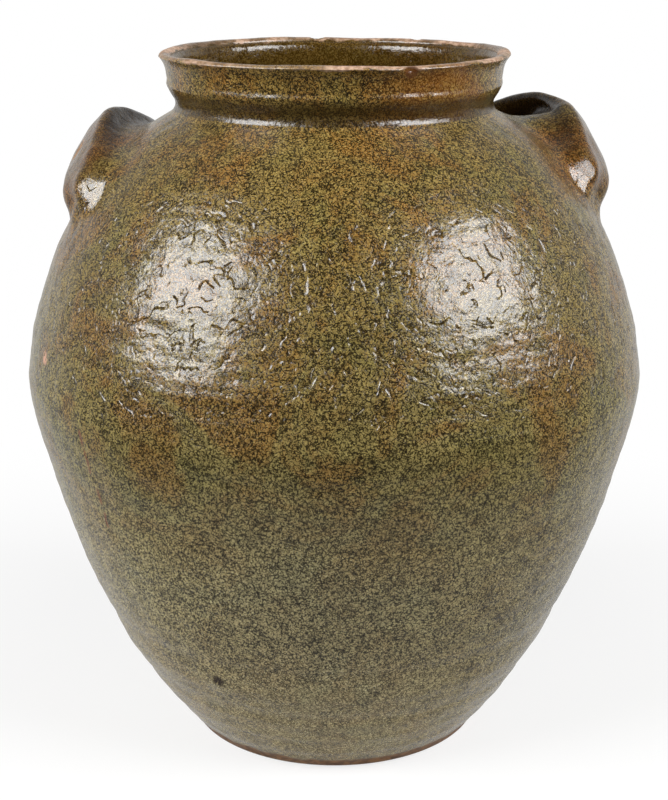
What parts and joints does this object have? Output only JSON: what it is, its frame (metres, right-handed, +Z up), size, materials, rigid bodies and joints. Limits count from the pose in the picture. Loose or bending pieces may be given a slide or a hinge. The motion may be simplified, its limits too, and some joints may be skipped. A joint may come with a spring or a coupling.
{
  "type": "stoneware storage jar",
  "caption": "Ovoid glazed stoneware storage jar with a flared collar rim, a narrow flat foot and arched strap handles on the shoulder, hollow and open at the mouth.",
  "frame": {"origin": "middle of the foot, on the surface that the jar stands on", "axes": "+Z up along the axis that the jar was turned on, -Y towards the viewer of the picture, +X to the viewer's right"},
  "size_m": [0.3374, 0.3374, 0.38],
  "materials": {
    "lower_glaze": "satin",
    "shoulder_glaze": "gloss",
    "collar_glaze": "gloss",
    "handle_glaze": "gloss"
  },
  "bodies": {
    "root": {"lower_body": "lower_glaze", "upper_body": "shoulder_glaze", "rim_collar": "collar_glaze", "right_handle": "handle_glaze", "left_handle": "handle_glaze"}
  },
  "joints": []
}
